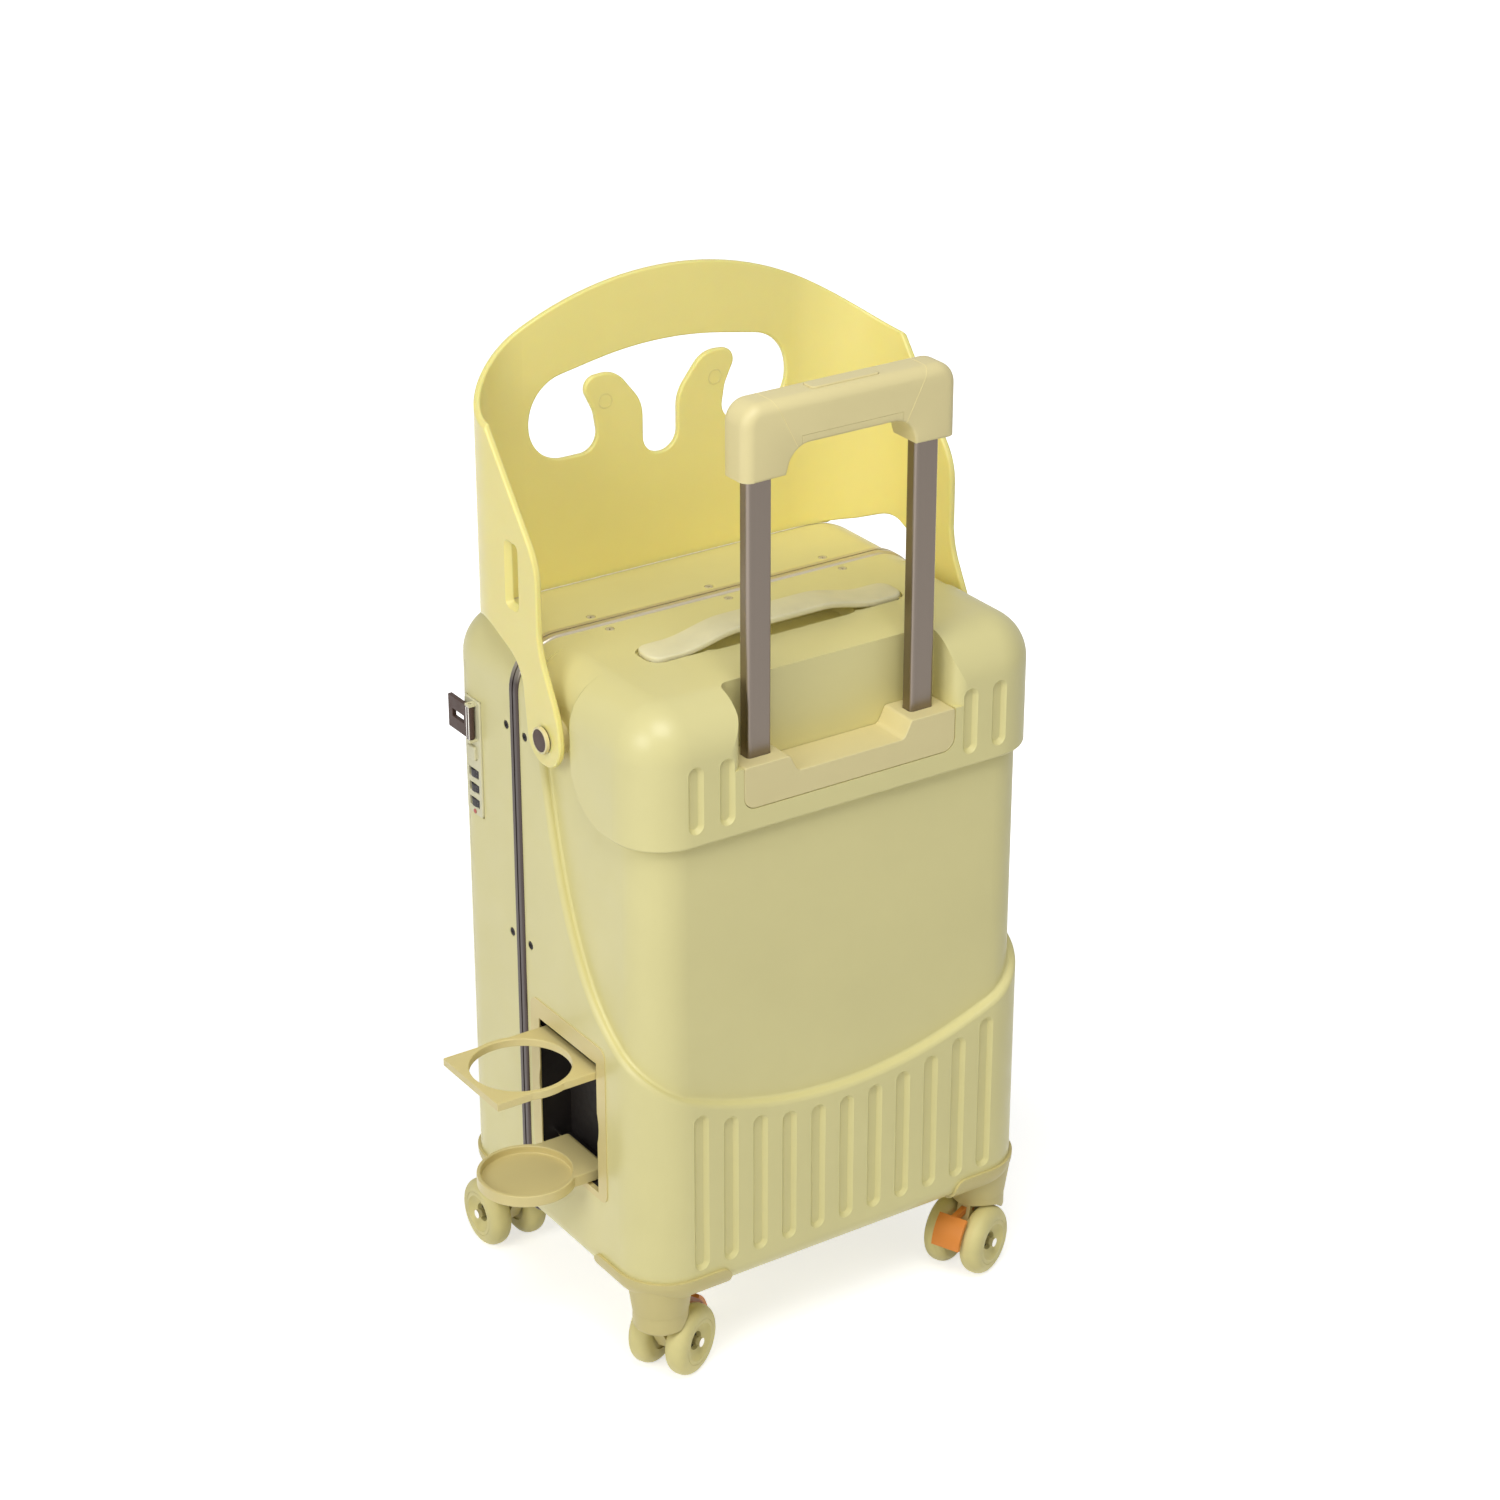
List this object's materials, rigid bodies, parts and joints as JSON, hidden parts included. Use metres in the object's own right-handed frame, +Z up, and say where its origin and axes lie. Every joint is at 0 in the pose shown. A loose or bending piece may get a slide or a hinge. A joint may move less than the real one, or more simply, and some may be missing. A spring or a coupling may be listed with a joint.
{
  "type": "ride-on suitcase",
  "caption": "Upright cabin suitcase on swivel casters with a telescopic trolley handle, folding rider guard, fold-out cup holder and lockable front lid.",
  "frame": {"origin": "on the floor, under the middle of the case body", "axes": "+Z up; +X to the right when facing the side with the trolley handle; +Y away from the trolley handle towards the front lid"},
  "size_m": [0.4426, 0.2982, 0.78],
  "materials": {
    "shell": "fine satin grain",
    "guard": "smooth, slightly glossy",
    "trim": "fine satin",
    "frame": "anodised",
    "seal": "matt",
    "steel": "plain",
    "tube": "anodised satin",
    "strap": "soft satin",
    "bolt": "dark cap",
    "wheel": "satin",
    "fork": "satin",
    "brake": "glossy",
    "lock": "satin",
    "latch": "glossy",
    "dial": "satin",
    "red": "glossy"
  },
  "bodies": {
    "case": {"back_shell": "shell", "front_shell": "shell", "frame_back_rail": "frame", "frame_front_rail": "frame", "frame_seal": "seal", "frame_screws": "steel", "lid_hinge_shell_leaves": "steel", "lid_hinge_pins": "steel", "trolley_bezel": "trim", "trolley_outer_tubes": "tube", "trolley_base": "trim", "strap_anchors": "steel", "guard_bolts": "bolt", "guard_washers": "trim", "guard_nuts": "steel", "cup_bezel": "trim", "cup_shelf_pin": "steel", "cup_tray_pin": "steel", "lock_plate": "lock", "lock_latch_pin": "steel", "lock_dial_axle": "steel", "lock_indicator": "red", "corner_guard_near_left": "fork", "corner_guard_near_right": "fork", "corner_guard_far_left": "fork", "corner_guard_far_right": "fork"},
    "lid": {"front_lid": "shell", "lid_hinge_lid_leaves": "steel", "lock_keeper": "steel"},
    "trolley": {"trolley_inner_tubes": "tube", "trolley_feet": "trim", "grip_body": "trim", "grip_cover": "trim"},
    "grip_release": {"grip_button": "trim", "release_rods": "steel"},
    "strap": {"carry_strap": "strap"},
    "guard_frame": {"guard": "guard"},
    "shelf": {"cup_shelf": "trim"},
    "tray": {"cup_tray": "trim"},
    "latch": {"lock_latch": "latch"},
    "unlock_button": {"lock_button": "lock"},
    "dial_1": {"lock_dial_1": "dial"},
    "dial_2": {"lock_dial_2": "dial"},
    "dial_3": {"lock_dial_3": "dial"},
    "caster_near_left": {"caster_fork_near_left": "fork", "caster_axle_near_left": "steel"},
    "wheels_near_left": {"caster_wheels_near_left": "wheel"},
    "brake_near_left": {"brake_pedal_near_left": "brake"},
    "caster_near_right": {"caster_fork_near_right": "fork", "caster_axle_near_right": "steel"},
    "wheels_near_right": {"caster_wheels_near_right": "wheel"},
    "brake_near_right": {"brake_pedal_near_right": "brake"},
    "caster_far_left": {"caster_fork_far_left": "fork", "caster_axle_far_left": "steel"},
    "wheels_far_left": {"caster_wheels_far_left": "wheel"},
    "caster_far_right": {"caster_fork_far_right": "fork", "caster_axle_far_right": "steel"},
    "wheels_far_right": {"caster_wheels_far_right": "wheel"}
  },
  "joints": [
    {"name": "trolley_slide", "type": "slide", "parent": "case", "child": "trolley", "axis": [0, 0, 1], "range_m": [-0.204, 0]},
    {"name": "grip_button_press", "type": "slide", "parent": "trolley", "child": "grip_release", "axis": [0, 0, -1], "range_m": [0, 0.004], "stiffness_N_per_m": 600, "springref_m": -0.004},
    {"name": "carry_strap_lift", "type": "slide", "parent": "case", "child": "strap", "axis": [0, 0, 1], "range_m": [0, 0.004]},
    {"name": "guard_swing", "type": "hinge", "parent": "case", "child": "guard_frame", "pos_m": [0, -0.017, 0.499], "axis": [1, 0, 0], "range_deg": [0, 42]},
    {"name": "lid_open", "type": "hinge", "parent": "case", "child": "lid", "pos_m": [0.1789, 0.108, 0.305], "axis": [0, 0, 1], "range_deg": [-110, 0]},
    {"name": "cup_shelf_fold", "type": "hinge", "parent": "case", "child": "shelf", "pos_m": [-0.1714, -0.029, 0.2485], "axis": [0, -1, 0], "range_deg": [0, 90]},
    {"name": "cup_tray_fold", "type": "hinge", "parent": "case", "child": "tray", "pos_m": [-0.1625, -0.029, 0.1565], "axis": [0, 1, 0], "range_deg": [0, 90]},
    {"name": "latch_open", "type": "hinge", "parent": "case", "child": "latch", "pos_m": [-0.1799, 0.0914, 0.47], "axis": [0, 0, 1], "range_deg": [0, 95]},
    {"name": "lock_button_press", "type": "slide", "parent": "case", "child": "unlock_button", "axis": [1, 0, 0], "range_m": [0, 0.002], "stiffness_N_per_m": 400},
    {"name": "dial_1_turn", "type": "hinge", "parent": "case", "child": "dial_1", "pos_m": [-0.1701, 0.095, 0.403], "axis": [0, 0, 1], "continuous": true},
    {"name": "dial_2_turn", "type": "hinge", "parent": "case", "child": "dial_2", "pos_m": [-0.1701, 0.095, 0.415], "axis": [0, 0, 1], "continuous": true},
    {"name": "dial_3_turn", "type": "hinge", "parent": "case", "child": "dial_3", "pos_m": [-0.1701, 0.095, 0.427], "axis": [0, 0, 1], "continuous": true},
    {"name": "swivel_near_left", "type": "hinge", "parent": "case", "child": "caster_near_left", "pos_m": [-0.147, -0.107, 0.0617], "axis": [0, 0, 1], "continuous": true},
    {"name": "wheel_spin_near_left", "type": "hinge", "parent": "caster_near_left", "child": "wheels_near_left", "pos_m": [-0.13262, -0.09999, 0.0275], "axis": [-0.4384, 0.8988, 0], "continuous": true},
    {"name": "brake_near_left_press", "type": "hinge", "parent": "caster_near_left", "child": "brake_near_left", "pos_m": [-0.13352, -0.10042, 0.0507], "axis": [-0.4384, 0.8988, 0], "range_deg": [0, 4]},
    {"name": "swivel_near_right", "type": "hinge", "parent": "case", "child": "caster_near_right", "pos_m": [0.147, -0.107, 0.0617], "axis": [0, 0, 1], "continuous": true},
    {"name": "wheel_spin_near_right", "type": "hinge", "parent": "caster_near_right", "child": "wheels_near_right", "pos_m": [0.13227, -0.11325, 0.0275], "axis": [0.3907, -0.9205, 0], "continuous": true},
    {"name": "brake_near_right_press", "type": "hinge", "parent": "caster_near_right", "child": "brake_near_right", "pos_m": [0.13319, -0.11286, 0.0507], "axis": [0.3907, -0.9205, 0], "range_deg": [0, 4]},
    {"name": "swivel_far_left", "type": "hinge", "parent": "case", "child": "caster_far_left", "pos_m": [-0.147, 0.107, 0.0617], "axis": [0, 0, 1], "continuous": true},
    {"name": "wheel_spin_far_left", "type": "hinge", "parent": "caster_far_left", "child": "wheels_far_left", "pos_m": [-0.147, 0.123, 0.0275], "axis": [-1, 0, 0], "continuous": true},
    {"name": "swivel_far_right", "type": "hinge", "parent": "case", "child": "caster_far_right", "pos_m": [0.147, 0.107, 0.0617], "axis": [0, 0, 1], "continuous": true},
    {"name": "wheel_spin_far_right", "type": "hinge", "parent": "caster_far_right", "child": "wheels_far_right", "pos_m": [0.15114, 0.12245, 0.0275], "axis": [-0.9659, 0.2588, 0], "continuous": true}
  ]
}
